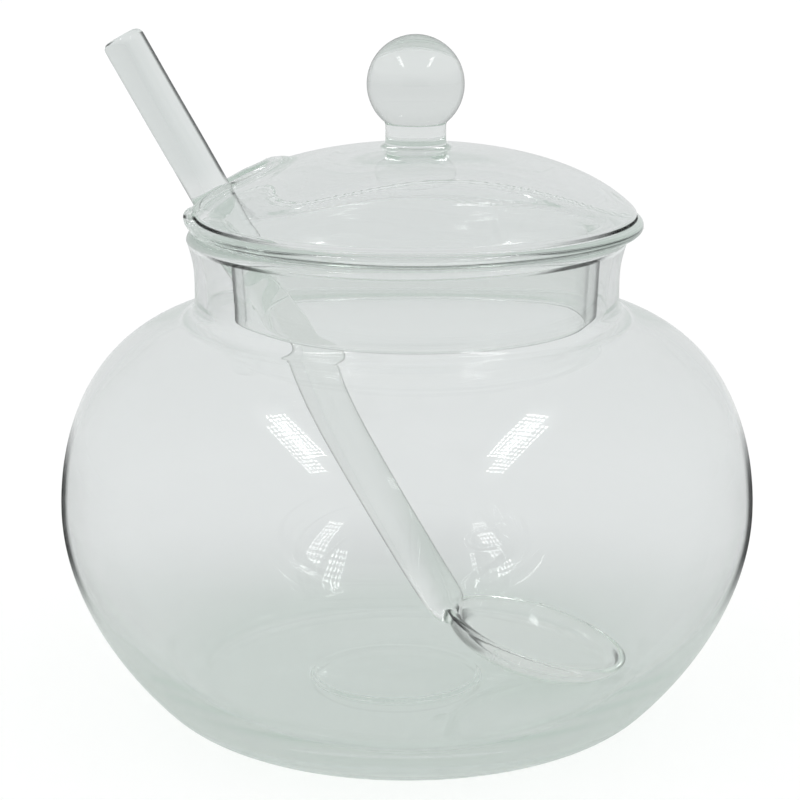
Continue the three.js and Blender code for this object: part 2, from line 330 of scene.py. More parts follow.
class TurnedField:
    """The signed distance to a profile turned about Z, read from a table of radius and height."""

    STEP = 0.1
    MARGIN = 2.5

    def __init__(self, profile):
        self.low = profile.min(0) - self.MARGIN
        self.low[0] = 0
        high = profile.max(0) + self.MARGIN
        counts = np.ceil((high - self.low) / self.STEP).astype(int) + 1
        radius = self.low[0] + self.STEP * np.arange(counts[0])
        height = self.low[1] + self.STEP * np.arange(counts[1])
        grid = np.stack(np.meshgrid(radius, height, indexing="ij"), -1).reshape(-1, 2)
        self.table = signed_distance(grid, profile).reshape(counts)

    def __call__(self, p):
        radius = np.hypot(p[:, 0], p[:, 1])
        at = (np.stack([radius, p[:, 2]], 1) - self.low) / self.STEP
        top = np.array(self.table.shape) - 2
        cell = np.clip(np.floor(at).astype(int), 0, top)
        part = np.clip(at - cell, 0, 1)
        i, j = cell.T
        u, v = part.T
        t = self.table
        inside = (
            t[i, j] * (1 - u) * (1 - v) + t[i + 1, j] * u * (1 - v)
            + t[i, j + 1] * (1 - u) * v + t[i + 1, j + 1] * u * v
        )
        beyond = np.linalg.norm(np.maximum(np.maximum(-at, at - top - 1), 0), axis=1) * self.STEP
        return inside + beyond


def signed_distance(grid, profile):
    """Distance of each grid point to the profile, negative between the profile and the axis."""
    nearest = np.full(len(grid), np.inf)
    crossings = np.zeros(len(grid), int)
    for a, b in zip(profile[:-1], profile[1:]):
        along = b - a
        t = np.clip(((grid - a) @ along) / (along @ along), 0, 1)
        gap = grid - a - t[:, None] * along
        nearest = np.minimum(nearest, (gap * gap).sum(1))
        spans = (grid[:, 1] < a[1]) != (grid[:, 1] < b[1])
        if spans.any():
            at = a[0] + (grid[:, 1] - a[1]) / (b[1] - a[1] + 1e-12) * along[0]
            crossings += spans & (at > grid[:, 0])
    return np.sqrt(nearest) * np.where(crossings % 2 == 1, -1, 1)


def melted(a, b, blend):
    """The union of two fields, with a fillet of about that size where they meet."""
    h = np.clip(0.5 + 0.5 * (b - a) / blend, 0, 1)
    return b * (1 - h) + a * h - blend * h * (1 - h)


def cut(a, b, blend):
    """Field a without field b, with a rounded edge."""
    return -melted(-a, b, blend)


def path_distance(p, path):
    nearest = np.full(len(p), np.inf)
    share = np.zeros(len(p))
    for i, (a, b) in enumerate(zip(path[:-1], path[1:])):
        along = b - a
        t = np.clip(((p - a) @ along) / (along @ along), 0, 1)
        gap = p - a - t[:, None] * along
        d = (gap * gap).sum(1)
        closer = d < nearest
        nearest[closer] = d[closer]
        share[closer] = (i + t[closer]) / (len(path) - 1)
    return np.sqrt(nearest), share


def waves(p, length, seed):
    """Smooth unevenness of about -1 to 1, as hand-worked glass has."""
    random = np.random.default_rng(seed)
    total = np.zeros(len(p))
    for _ in range(5):
        way = random.normal(size=3)
        way /= np.linalg.norm(way)
        pace = 2 * math.pi / length * random.uniform(0.6, 1.5)
        total += np.sin(p @ way * pace + random.uniform(0, 6.3))
    return total / 3


def across(corner, turned):
    """Grid axes as rows of points: straight ones, or radius, turn and height round Z."""
    if not turned:
        return corner
    radius, angle, height = corner.T
    return np.stack([radius * np.cos(angle), radius * np.sin(angle), height], 1)


def surface_of(field, low, high, step, turned=False):
    """Vertices and faces of the field's zero surface, by surface nets.

    A turned grid runs over radius, turn and height. Its turn closes on itself, and its innermost
    cells meet in one vertex on the axis.
    """
    low, step = np.array(low, float), np.array(step, float)
    counts = np.ceil((np.array(high) - low) / step - 1e-6).astype(int) + 1
    axes = [low[k] + step[k] * np.arange(counts[k]) for k in range(3)]
    if turned:
        axes[1] = axes[1][:-1]
    grid = np.stack(np.meshgrid(*axes, indexing="ij"), -1).reshape(-1, 3)
    value = field(across(grid, turned)).reshape([len(axis) for axis in axes])
    if turned:
        value = np.concatenate([value, value[:, :1]], 1)
    inside = value < 0
    total = np.zeros([*(counts - 1), 3])
    hits = np.zeros(counts - 1)
    for axis in range(3):
        lead, lag = [slice(None)] * 3, [slice(None)] * 3
        lead[axis], lag[axis] = slice(1, None), slice(None, -1)
        a, b = value[tuple(lag)], value[tuple(lead)]
        crosses = inside[tuple(lead)] != inside[tuple(lag)]
        t = np.where(crosses, a / np.where(crosses, a - b, 1), 0)
        u, v = [k for k in range(3) if k != axis]
        for du in (0, 1):
            for dv in (0, 1):
                take = [slice(None)] * 3
                take[u] = slice(du, du + counts[u] - 1)
                take[v] = slice(dv, dv + counts[v] - 1)
                here = crosses[tuple(take)]
                hits += here
                total[..., axis] += np.where(here, t[tuple(take)], 0)
                total[..., u] += np.where(here, du, 0)
                total[..., v] += np.where(here, dv, 0)
    used = hits > 0
    number = np.full(counts - 1, -1)
    number[used] = np.arange(used.sum())
    corner = low + step * (np.argwhere(used) + total[used] / hits[used][:, None])
    if turned:
        corner[number[0][used[0]], 0] = 0
        number[0] = np.where(used[0], number[0].max(0), -1)
    faces = []
    for axis in range(3):
        lead, lag = [slice(1, -1)] * 3, [slice(1, -1)] * 3
        lead[axis], lag[axis] = slice(1, None), slice(None, -1)
        if turned and axis != 1:
            lead[1] = lag[1] = slice(None, -1)
        a, b = inside[tuple(lag)], inside[tuple(lead)]
        for mask, flip in ((a & ~b, False), (~a & b, True)):
            at = np.argwhere(mask)
            for k in range(3):
                at[:, k] += k != axis and not (turned and k == 1)
            u, v = (axis + 1) % 3, (axis + 2) % 3
            corners = []
            for du, dv in ((-1, -1), (0, -1), (0, 0), (-1, 0)):
                c = at.copy()
                c[:, u] += du
                c[:, v] += dv
                corners.append(number[c[:, 0], c[:, 1], c[:, 2]])
            quads = np.stack(corners, 1)
            faces.append(quads[:, ::-1] if flip else quads)
    return across(corner, turned), whole_faces(np.concatenate(faces))


def whole_faces(quads):
    """The faces without repeated corners or collapsed ones."""
    faces = []
    for quad in quads.tolist():
        face = [n for i, n in enumerate(quad) if n != quad[i - 1]]
        if len(set(face)) == len(face) > 2:
            faces.append(face)
    return faces


def slope(field, p, reach=0.25):
    parts = []
    for axis in range(3):
        step = np.zeros(3)
        step[axis] = reach
        parts.append((field(p + step) - field(p - step)) / (2 * reach))
    return np.stack(parts, 1)


def settled(field, vertices, rounds=4):
    """The vertices moved onto the field's zero surface, and the surface's normals there."""
    for _ in range(rounds):
        way = slope(field, vertices)
        size = np.maximum((way * way).sum(1), 0.05)
        move = field(vertices)[:, None] * way / size[:, None]
        length = np.linalg.norm(move, axis=1)[:, None]
        vertices = vertices - move * np.minimum(1, 0.3 / np.maximum(length, 1e-9))
    way = slope(field, vertices)
    return vertices, way / np.maximum(np.linalg.norm(way, axis=1)[:, None], 1e-9)


def relaxed(vertices, faces, rounds=6):
    """The vertices drawn towards the middle of their neighbours."""
    sides = np.array([(face[i - 1], face[i]) for face in faces for i in range(len(face))])
    here, beside = sides.T
    count = np.maximum(np.bincount(here, minlength=len(vertices)), 1)
    for _ in range(rounds):
        around = [np.bincount(here, vertices[beside, k], len(vertices)) for k in range(3)]
        vertices = (vertices + np.stack(around, 1) / count[:, None]) / 2
    return vertices


def turned_about_z(p, angle):
    c, s = math.cos(angle), math.sin(angle)
    return np.stack([p[:, 0] * c - p[:, 1] * s, p[:, 0] * s + p[:, 1] * c, p[:, 2]], 1)


def turned_about_y(p, angle):
    c, s = math.cos(angle), math.sin(angle)
    return np.stack([p[:, 0] * c + p[:, 2] * s, p[:, 1], -p[:, 0] * s + p[:, 2] * c], 1)


def in_scene(name, data):
    thing = bpy.data.objects.new(name, data)
    bpy.context.scene.collection.objects.link(thing)
    return thing


def made(name, vertices, faces, normals=None):
    mesh = bpy.data.meshes.new(name)
    faces = [[int(n) for n in face] for face in faces]
    kept = np.unique(np.concatenate([np.array(face) for face in faces]))
    renumber = np.zeros(len(vertices), int)
    renumber[kept] = np.arange(len(kept))
    faces = [[int(renumber[n]) for n in face] for face in faces]
    mesh.from_pydata(np.asarray(vertices)[kept] * MM, [], faces)
    mesh.shade_smooth()
    if normals is not None:
        mesh.normals_split_custom_set_from_vertices(normals[kept])
    return in_scene(name, mesh)


# The jar


def make_jar(segments=JAR_SEGMENTS):
    profile = jar_profile()
    profile[0, 0] = profile[-1, 0] = 0
    rings = profile[1:-1]
    angle = np.linspace(0, 2 * math.pi, segments, endpoint=False)
    x = rings[:, :1] * np.cos(angle)
    y = rings[:, :1] * np.sin(angle)
    z = np.repeat(rings[:, 1:], segments, 1)
    body = np.stack([x, y, z], -1).reshape(-1, 3)
    ends = np.array([[0, 0, profile[0, 1]], [0, 0, profile[-1, 1]]])
    vertices = np.concatenate([body, ends])
    radius = np.hypot(vertices[:, 0], vertices[:, 1])
    aside = np.clip(1 - (radius / DISC_ASIDE_REACH) ** 2, 0, 1) ** 2
    aside *= vertices[:, 2] > FLOOR_HEIGHT / 2
    vertices[:, :2] += aside[:, None] * np.array(DISC_ASIDE)
    bottom, top = len(body), len(body) + 1
    faces = []
    around = np.arange(segments)
    beside = (around + 1) % segments
    for i in range(len(rings) - 1):
        a, b = i * segments, (i + 1) * segments
        faces += np.stack([a + around, a + beside, b + beside, b + around], 1).tolist()
    last = (len(rings) - 1) * segments
    faces += [(bottom, int(j), int(i)) for i, j in zip(around, beside)]
    faces += [(top, last + int(i), last + int(j)) for i, j in zip(around, beside)]
    return made("jar_glass", vertices, faces)


# The lid


def bead_path():
    """The middle of the thick edge round the notch, before the lid is turned and placed."""
    reach = NOTCH_HALF_WIDTH + BEAD_RADIUS
    start = LID_RADIUS - BEAD_RADIUS
    plan = joined(
        line((-start, -reach), (-NOTCH_ARC_RADIUS, -reach), 12),
        arc((-NOTCH_ARC_RADIUS, 0), reach, reach, -QUARTER, QUARTER, 32),
        line((-NOTCH_ARC_RADIUS, reach), (-start, reach), 12),
    )
    surface = dome_height(np.minimum(np.hypot(plan[:, 0], plan[:, 1]), start))
    height = np.maximum(surface - BEAD_SINK, LID_UNDERSIDE + BEAD_RADIUS)
    return np.column_stack([plan, height])


def make_lid():
    body = TurnedField(lid_profile())
    path = bead_path()
    near = path.min(0) - NEAR_BEAD, path.max(0) + NEAR_BEAD

    def field(p):
        value = body(p)
        close = ((p > near[0]) & (p < near[1])).all(1)
        close |= (p[:, 0] < near[1][0]) & (np.abs(p[:, 1]) < NOTCH_HALF_WIDTH + NEAR_NOTCH)
        q = p[close]
        distance, share = path_distance(q, path)
        lumps = sum(height * np.sin(share * pace + start) for height, pace, start in BEAD_LUMPS)
        bead = distance - BEAD_RADIUS * (1 + lumps)
        past_arc = np.maximum(q[:, 0] + NOTCH_ARC_RADIUS, 0)
        notch = np.hypot(past_arc, q[:, 1]) - NOTCH_HALF_WIDTH
        value[close] = cut(melted(value[close], bead, BEAD_BLEND), notch, NOTCH_ROUNDING)
        return value

    def uneven(p):
        steady = np.minimum(np.hypot(p[:, 0], p[:, 1]) / KNOB_NECK_RADIUS, 1) ** 2
        high = np.clip((p[:, 2] - LID_EDGE_TOP) / LID_WAVE_FADE, LID_WAVE_LEAST_SHARE, 1)
        return field(p) + LID_WAVE_HEIGHT * waves(p, LID_WAVE_LENGTH, seed=3) * steady * high

    room = 1
    low = (0, 0, COLLAR_BOTTOM - room)
    high = (LID_RADIUS + room, 2 * math.pi, BALL_CENTRE + BALL_RADIUS + room)
    step = (LID_STEP, 2 * math.pi / LID_SEGMENTS, LID_STEP)
    vertices, faces = surface_of(field, low, high, step, turned=True)
    vertices, normals = settled(uneven, relaxed(settled(field, vertices)[0], faces))
    vertices = turned_about_z(vertices, -NOTCH_TURN) + np.array([LID_SHIFT, 0, 0])
    return made("lid_glass", vertices, faces, turned_about_z(normals, -NOTCH_TURN))


# The spoon


def make_spoon():
    rod = TurnedField(handle_profile())
    bowl = TurnedField(bowl_profile())
    start = np.array([-BOWL_REACH, 0, BOWL_RISE])
    stretch = np.array([BOWL_HALF_WIDTH / BOWL_HALF_LENGTH, 1, 1])
    hollow_radius = BOWL_HALF_WIDTH - BOWL_THICKNESS
    hollow_depth = BOWL_DEPTH - BOWL_THICKNESS

    def field(p):
        """The spoon with its bowl's rim round the origin, before it is turned and placed."""
        rod_value = rod(turned_about_y(p - start, HANDLE_LEAN))
        in_bowl = turned_about_y(p, -BOWL_PITCH) * stretch
        bowl_value = bowl(in_bowl)
        radius = np.hypot(in_bowl[:, 0], in_bowl[:, 1])
        depth = np.minimum(in_bowl[:, 2], 0)
        hollow = (np.hypot(radius / hollow_radius, depth / hollow_depth) - 1) * hollow_depth
        hollow = np.maximum(hollow, in_bowl[:, 2] - 2 * HANDLE_RADIUS)
        return melted(cut(rod_value, hollow, HOLLOW_ROUNDING), bowl_value, BOWL_BLEND)

    def uneven(p):
        return field(p) + SPOON_WAVE_HEIGHT * waves(p, SPOON_WAVE_LENGTH, seed=8)

    room, end_room = 1.5, 5
    handle_reach = HANDLE_LENGTH * math.sin(HANDLE_LEAN)
    handle_rise = HANDLE_LENGTH * math.cos(HANDLE_LEAN)
    side = BOWL_HALF_WIDTH + room
    low = (-BOWL_REACH - handle_reach - end_room, -side, -BOWL_DROP - room)
    high = (BOWL_HALF_LENGTH + room, side, BOWL_RISE + handle_rise + end_room)
    vertices, faces = surface_of(field, low, high, (SPOON_STEP, SPOON_STEP, SPOON_STEP))
    vertices, normals = settled(uneven, relaxed(settled(field, vertices)[0], faces))
    place = np.array([BOWL_CENTRE_REACH, BOWL_ASIDE, BOWL_CENTRE_HEIGHT])
    vertices = turned_about_z(vertices + place, -SPOON_TURN)
    return made("spoon_glass", vertices, faces, turned_about_z(normals, -SPOON_TURN))


# Materials

WHITE = (1, 1, 1)
CLEAR = (0.988, 0.991, 0.991)  # what one face of plain glass lets through
# Painted shade: the knob darker than plain glass
KNOB_SHADED_CLEAR = (0.965, 0.97, 0.968)
SPOON_LOW_CLEAR = (0.990, 0.993, 0.991)
# Painted shade: the handle darker towards its top end, and darker lines along the handle's and the
# bowl's edges
SPOON_HIGH_CLEAR = (0.948, 0.960, 0.956)
HANDLE_EDGE_CLEAR = (0.97, 0.975, 0.975)
SPOON_EDGE_CLEAR = (0.985, 0.99, 0.988)
LAMPLIGHT_CLEAR = (0.955, 0.972, 0.96)  # what each face lets through to the floor
ABSORBED_TONE = (0.80, 0.87, 0.825)
ABSORPTION_DENSITY = 14
REFRACTION = 1.47
RIPPLE_SCALE = 60
RIPPLE_DETAIL = 1.5
RIPPLE_DEPTH = 0.0004
JAR_RIPPLE = 0.15
LID_RIPPLE = 0.06
SPOON_RIPPLE = 0.1
TINTED_FACES = 8  # then the glass has no tint and no painted shade
BENDING_FACES = 10  # then light goes straight on, and no longer runs round inside a wall

# Heights, in millimetres, between which the tint and painted shade of a place begin or end
ABOVE_BELLY = (SHOULDER_HEIGHT - 4, SHOULDER_HEIGHT)
AT_NECK = (SHOULDER_HEIGHT + 1, SHOULDER_HEIGHT + 4)
LIP_ARCS_BEGIN = (LIP_CENTRE_HEIGHT - 0.6, LIP_CENTRE_HEIGHT - 0.4)
LIP_ARCS_END = (LIP_CENTRE_HEIGHT + 0.2, LIP_CENTRE_HEIGHT)
AT_KNOB = (DOME_TOP, DOME_TOP + KNOB_NECK_RADIUS)
AT_COLLAR = (LID_UNDERSIDE - 1, LID_UNDERSIDE - 3)
EDGE_ARCS_BEGIN = (LID_EDGE_TOP + 0.1, LID_EDGE_TOP + 0.25)
EDGE_ARCS_END = (LID_EDGE_TOP + 0.75, LID_EDGE_TOP + 0.55)
HANDLE_HIGH = (LID_UNDERSIDE * 0.8, LID_UNDERSIDE * 1.1)
HANDLE_OUTSIDE = (80, 83)
HANDLE_FOOT = (15, 18)

# The bowl's side by the handle, where a dark streak is painted: it begins between these places
# along X, and along Y
BY_HANDLE_X = (12.5, 10.5)
BY_HANDLE_Y = (-2, -4)

# How far up a surface faces, from 0 for upright to 1 for level, where a painted shade begins or
# ends
BELLY_FACES = (0.12, 0.42)
LINE_FACES = 0.5
LINE_SPREAD = (0.2, 0.1)
STREAK_SPREAD = (0.27, 0.17)

# Rows of how edge on a place is seen, and the share of light that its tint leaves; the lower shares
# paint shade as dark edge lines and arcs
BELLY_SHARES = ((0.42, 1), (0.6, 0.955), (0.80, 0.86), (0.862, 0.15), (1, 0.03))
NECK_SHARES = ((0.34, 1), (0.57, 0.9), (1, 0.84))
LIP_ARC_SHARES = ((0.26, 1), (0.36, 0.2), (0.52, 0.2), (0.66, 1))
KNOB_SHARES = ((0.6, 1), (0.86, 0.75), (1, 0.1))
COLLAR_SHARES = ((0.6, 1), (0.78, 0.85), (0.84, 0.3), (1, 0.1))
EDGE_ARC_SHARES = ((0.18, 1), (0.36, 0.5), (0.55, 0.06), (0.9, 0.1), (1, 0.5))
HANDLE_SHARES = ((0.5, 1), (0.7, 0.85), (1, 0.3))
HANDLE_LINE_SHARES = ((0.42, 1), (0.58, 0.3), (1, 0.1))
BOWL_RIM_SHARES = ((0.42, 1), (0.6, 0.45), (1, 0.15))
STREAK_SHARES = ((0.1, 1), (0.3, 0.15), (1, 0.05))

SEEN_IN_GLASS = (0.77, 0.785, 0.785)  # the white surroundings' tone as glass shows them
FAR_SHARE = 0.97
# Painted shadow: the share of its tone that the floor round the jar keeps as glass shows it
UNDER_JAR_PAINTED_SHADOW_SHARE = 0.88
OVERHEAD_SHARE = 0.82
UNDER_TONE = (0.68, 0.70, 0.685)
EVEN_TONE = (0.74, 0.752, 0.748)
CARD_TONE = (0.3, 0.31, 0.32)
FILL_TONE = (0.6, 0.6, 0.6)
FLOOR_GLOW_SHARE = 0.6
# The floor's tone as glass shows it, by distance in metres: a painted shadow round the jar, then
# full, then a little greyer far off
FLOOR_SHARES = ((0, UNDER_JAR_PAINTED_SHADOW_SHARE), (0.05, UNDER_JAR_PAINTED_SHADOW_SHARE), (0.1, 0.98), (0.15, 1), (1, FAR_SHARE))
ROOM_SHARES = ((0, FAR_SHARE), (0.3, FAR_SHARE), (0.7, 0.885), (1, OVERHEAD_SHARE))
HORIZON = (0.3, 1.2)  # how far off the floor turns into the surroundings, in metres
CARD_BEHIND = (-0.78, -0.92)  # the way's Y towards which the card behind the camera darkens
CARD_TOP = (0.4, 0.25)  # and its Z
MANY_FACES = (4.5, 8.5)  # between these the room turns even


def shaded(tone, rows):
    """Rows of a position and a share of the tone, as rows of a position and a colour."""
    return [(at, tuple(part * share for part in tone)) for at, share in rows]


class Nodes:
    """The nodes of a material or the world, with short ways to add the kinds used here."""

    def __init__(self, owner):
        owner.use_nodes = True
        self.tree = owner.node_tree
        self.tree.nodes.clear()

    def add(self, kind, inputs=(), **settings):
        """A node whose inputs are numbers, colours or the outputs of other nodes."""
        node = self.tree.nodes.new("ShaderNode" + kind)
        for name, value in settings.items():
            setattr(node, name, value)
        for key, value in dict(inputs).items():
            if isinstance(value, bpy.types.NodeSocket):
                self.tree.links.new(value, node.inputs[key])
            elif isinstance(value, tuple):
                node.inputs[key].default_value = (*value, 1)
            else:
                node.inputs[key].default_value = value
        return node

    def math(self, operation, *values):
        """The operation on one or two values, or on more of them in turn."""
        if len(values) > 2:
            values = self.math(operation, *values[:-1]), values[-1]
        return self.add("Math", enumerate(values), operation=operation).outputs[0]

    def split(self, vector):
        return self.add("SeparateXYZ", {"Vector": vector}).outputs

    def blend(self, share, a, b):
        """Colour a where the share is 0, and colour b where it is 1."""
        node = self.add("Mix", {"Factor": share, "A": a, "B": b}, data_type="RGBA")
        return node.outputs["Result"]

    def blend_shaders(self, share, a, b):
        return self.add("MixShader", {0: share, 1: a, 2: b}).outputs["Shader"]

    def emission(self, colour):
        return self.add("Emission", {"Color": colour}).outputs["Emission"]

    def ramp(self, source, rows):
        """A colour that follows the source, from rows of a rising position and a colour."""
        node = self.add("ValToRGB", {"Fac": source})
        stops = node.color_ramp.elements
        for stop, (at, tone) in ((stops[0], rows[0]), (stops[1], rows[-1])):
            stop.position = at
            stop.color = (*tone, 1)
        for at, tone in rows[1:-1]:
            stops.new(at).color = (*tone, 1)
        return node.outputs["Color"]

    def rise(self, source, low, high):
        """A share that rises from 0 to 1 as the source goes from low to high."""
        limits = {"Value": source, "From Min": low, "From Max": high}
        return self.add("MapRange", limits, interpolation_type="SMOOTHSTEP").outputs["Result"]

    def along(self, axis, low, high):
        """A share that rises from 0 to 1 between two places on the piece, in millimetres."""
        place = self.split(self.add("TexCoord").outputs["Object"])
        return self.rise(place[axis], low * MM, high * MM)

    def normal_z(self):
        return self.split(self.add("NewGeometry").outputs["Normal"])["Z"]

    def edge_on(self, clear, rows):
        """A painted shade by how edge on the glass is seen, from rows of that and a share of clear.
        """
        facing = self.add("LayerWeight", {"Blend": 0.5}).outputs["Facing"]
        return self.ramp(facing, shaded(clear, rows))

    def rays(self, name):
        return self.add("LightPath").outputs[name]

    def within(self, faces):
        """A share of 1 for light that has met fewer faces than that, or as many, on its way."""
        return self.math("LESS_THAN", self.rays("Ray Depth"), faces - 0.5)

    def past(self, faces):
        """A share of 1 for light that has met more faces than that on its way."""
        return self.math("GREATER_THAN", self.rays("Ray Depth"), faces - 0.5)

    def after_many(self):
        """A share of 1 for light that has met many faces, which then shows an even room."""
        return self.rise(self.rays("Ray Depth"), *MANY_FACES)

    def in_glass(self):
        """A share of 1 for the rays that glass mirrors or lets through."""
        mirrored, through = self.rays("Is Glossy Ray"), self.rays("Is Transmission Ray")
        return self.math("MAXIMUM", mirrored, through)


def jar_tint_and_painted_shade(nodes):
    """Painted shade: darker at the belly and the neck where they are seen edge on, and in dark arcs
    on the lip.
    """
    first = nodes.within(1)
    belly = nodes.edge_on(CLEAR, BELLY_SHARES)
    sloping = nodes.rise(nodes.math("ABSOLUTE", nodes.normal_z()), *BELLY_FACES)
    above = nodes.along("Z", *ABOVE_BELLY)
    tone = nodes.blend(nodes.math("MAXIMUM", sloping, above, nodes.past(1)), belly, CLEAR)
    neck = nodes.edge_on(CLEAR, NECK_SHARES)
    at_neck = nodes.along("Z", *AT_NECK)
    tone = nodes.blend(nodes.math("MULTIPLY", at_neck, first), tone, neck)
    arcs = nodes.edge_on(CLEAR, LIP_ARC_SHARES)
    begin, end = nodes.along("Z", *LIP_ARCS_BEGIN), nodes.along("Z", *LIP_ARCS_END)
    return nodes.blend(nodes.math("MULTIPLY", begin, end, first), tone, arcs)


def lid_tint_and_painted_shade(nodes):
    """Painted shade: darker in the knob, more where it is seen edge on, at the collar's sides, and
    in dark arcs above the lid's edge.
    """
    tone = nodes.blend(nodes.along("Z", *AT_KNOB), CLEAR, nodes.edge_on(KNOB_SHADED_CLEAR, KNOB_SHARES))
    collar = nodes.edge_on(CLEAR, COLLAR_SHARES)
    at_collar = nodes.along("Z", *AT_COLLAR)
    tone = nodes.blend(nodes.math("MULTIPLY", at_collar, nodes.within(5)), tone, collar)
    arcs = nodes.edge_on(CLEAR, EDGE_ARC_SHARES)
    begin, end = nodes.along("Z", *EDGE_ARCS_BEGIN), nodes.along("Z", *EDGE_ARCS_END)
    return nodes.blend(nodes.math("MULTIPLY", begin, end, nodes.within(1)), tone, arcs)


def spoon_tint_and_painted_shade(nodes):
    """Painted shade: darker towards the handle's end, along its edges, on the bowl's rim, and in a
    dark streak where they meet.
    """
    tone = nodes.blend(nodes.along("Z", *HANDLE_HIGH), SPOON_LOW_CLEAR, SPOON_HIGH_CLEAR)
    handle = nodes.edge_on(SPOON_EDGE_CLEAR, HANDLE_SHARES)
    in_jar = nodes.along("Z", *reversed(HANDLE_OUTSIDE))
    over_bowl = nodes.along("Z", *HANDLE_FOOT)
    at_handle = nodes.math("MULTIPLY", in_jar, over_bowl, nodes.within(3))
    tone = nodes.blend(at_handle, tone, handle)

    tilt = nodes.math("ABSOLUTE", nodes.math("SUBTRACT", nodes.normal_z(), LINE_FACES))
    line = nodes.rise(tilt, *LINE_SPREAD)
    rim = nodes.edge_on(SPOON_EDGE_CLEAR, BOWL_RIM_SHARES)
    streak = nodes.edge_on(SPOON_EDGE_CLEAR, STREAK_SHARES)
    aside, in_front = nodes.along("X", *BY_HANDLE_X), nodes.along("Y", *BY_HANDLE_Y)
    by_handle = nodes.math("MULTIPLY", aside, in_front)
    broad = nodes.math("MULTIPLY", by_handle, nodes.rise(tilt, *STREAK_SPREAD))
    at_bowl = nodes.along("Z", *reversed(HANDLE_FOOT))
    at_rim = nodes.math("MULTIPLY", nodes.math("MAXIMUM", line, broad), at_bowl)
    tone = nodes.blend(at_rim, tone, nodes.blend(by_handle, rim, streak))

    dark = nodes.edge_on(HANDLE_EDGE_CLEAR, HANDLE_LINE_SHARES)
    outside = nodes.along("Z", *HANDLE_OUTSIDE)
    return nodes.blend(nodes.math("MULTIPLY", line, outside), tone, dark)


def glass(name, tint_and_painted_shade, ripple):
    """Clear glass with faint ripples, greener thick parts, and the painted shade of its tint. Lamps
    shine through it.
    """
    material = bpy.data.materials.new(name)
    nodes = Nodes(material)
    colour = nodes.blend(nodes.past(TINTED_FACES), tint_and_painted_shade(nodes), WHITE)
    place = nodes.add("TexCoord").outputs["Object"]
    noise = nodes.add("TexNoise", {"Vector": place, "Scale": RIPPLE_SCALE, "Detail": RIPPLE_DETAIL})
    bump = nodes.add(
        "Bump", {"Height": noise.outputs["Fac"], "Strength": ripple, "Distance": RIPPLE_DEPTH}
    )
    looks = {"Color": colour, "Normal": bump.outputs["Normal"], "IOR": REFRACTION, "Roughness": 0}
    surface = nodes.add("BsdfGlass", looks).outputs["BSDF"]
    for rays in ("Is Diffuse Ray", "Is Shadow Ray"):
        lit = nodes.add("BsdfTransparent", {"Color": LAMPLIGHT_CLEAR}).outputs["BSDF"]
        straight = nodes.math("MAXIMUM", nodes.rays(rays), nodes.past(BENDING_FACES))
        surface = nodes.blend_shaders(straight, surface, lit)
    depth = {"Color": ABSORBED_TONE, "Density": ABSORPTION_DENSITY}
    inside = nodes.add("VolumeAbsorption", depth).outputs["Volume"]
    nodes.add("OutputMaterial", {"Surface": surface, "Volume": inside})
    return material


def floor_material():
    """White to the camera, and a little greyer as glass shows it, with a painted shadow round the
    jar as glass shows it. It keeps the lamps' shadow too.
    """
    material = bpy.data.materials.new("floor")
    nodes = Nodes(material)
    in_glass = nodes.in_glass()
    place = nodes.add("NewGeometry").outputs["Position"]
    distance = nodes.add("VectorMath", {0: place}, operation="LENGTH").outputs["Value"]
    # Painted shadow round the jar, for rays in glass only
    seen = nodes.ramp(distance, shaded(SEEN_IN_GLASS, FLOOR_SHARES))
    diffuse = nodes.add("BsdfDiffuse", {"Color": nodes.blend(in_glass, WHITE, seen)})
    glow = nodes.math("MULTIPLY", nodes.rays("Is Camera Ray"), FLOOR_GLOW_SHARE)
    surface = nodes.blend_shaders(glow, diffuse.outputs["BSDF"], nodes.emission(WHITE))
    distant = nodes.math("MULTIPLY", nodes.rise(distance, *HORIZON), in_glass)
    horizon = tuple(part * FAR_SHARE for part in SEEN_IN_GLASS)
    surface = nodes.blend_shaders(distant, surface, nodes.emission(horizon))
    surface = nodes.blend_shaders(nodes.after_many(), surface, nodes.emission(UNDER_TONE))
    nodes.add("OutputMaterial", {"Surface": surface})
    return material


def light_strip_material(name):
    """Rows of small lamps with a soft glow round them, seen only in glass."""
    material = bpy.data.materials.new(name)
    nodes = Nodes(material)
    place = nodes.split(nodes.add("UVMap").outputs["UV"])
    squares, gaps = [], []
    for axis, count in zip("XY", STRIP_LAMPS):
        part = nodes.math("FRACT", nodes.math("MULTIPLY", place[axis], count))
        off_centre = nodes.math("SUBTRACT", part, 0.5)
        squares.append(nodes.math("MULTIPLY", off_centre, off_centre))
        gaps.append(nodes.math("ABSOLUTE", nodes.math("SUBTRACT", place[axis], 0.5)))
    gap = nodes.math("MAXIMUM", *gaps)
    radius = nodes.math("SQRT", nodes.math("ADD", *squares))
    dot = nodes.math("LESS_THAN", radius, LAMP_RADIUS)
    lamp = nodes.math("MULTIPLY", dot, nodes.math("LESS_THAN", gap, 0.5))
    strengths = {"Factor": lamp, "A": GLOW_STRENGTH, "B": LAMP_STRENGTH}
    strength = nodes.add("Mix", strengths, data_type="FLOAT").outputs["Result"]
    light = nodes.add("Emission", {"Strength": strength}).outputs["Emission"]
    glow = nodes.rise(gap, 0.5 + GLOW_MARGIN, 0.45)
    direct = nodes.math("LESS_THAN", nodes.rays("Diffuse Depth"), 0.5)
    clear = nodes.add("BsdfTransparent").outputs["BSDF"]
    surface = nodes.blend_shaders(nodes.math("MULTIPLY", glow, direct), clear, light)
    nodes.add("OutputMaterial", {"Surface": surface})
    return material


# The room, in metres

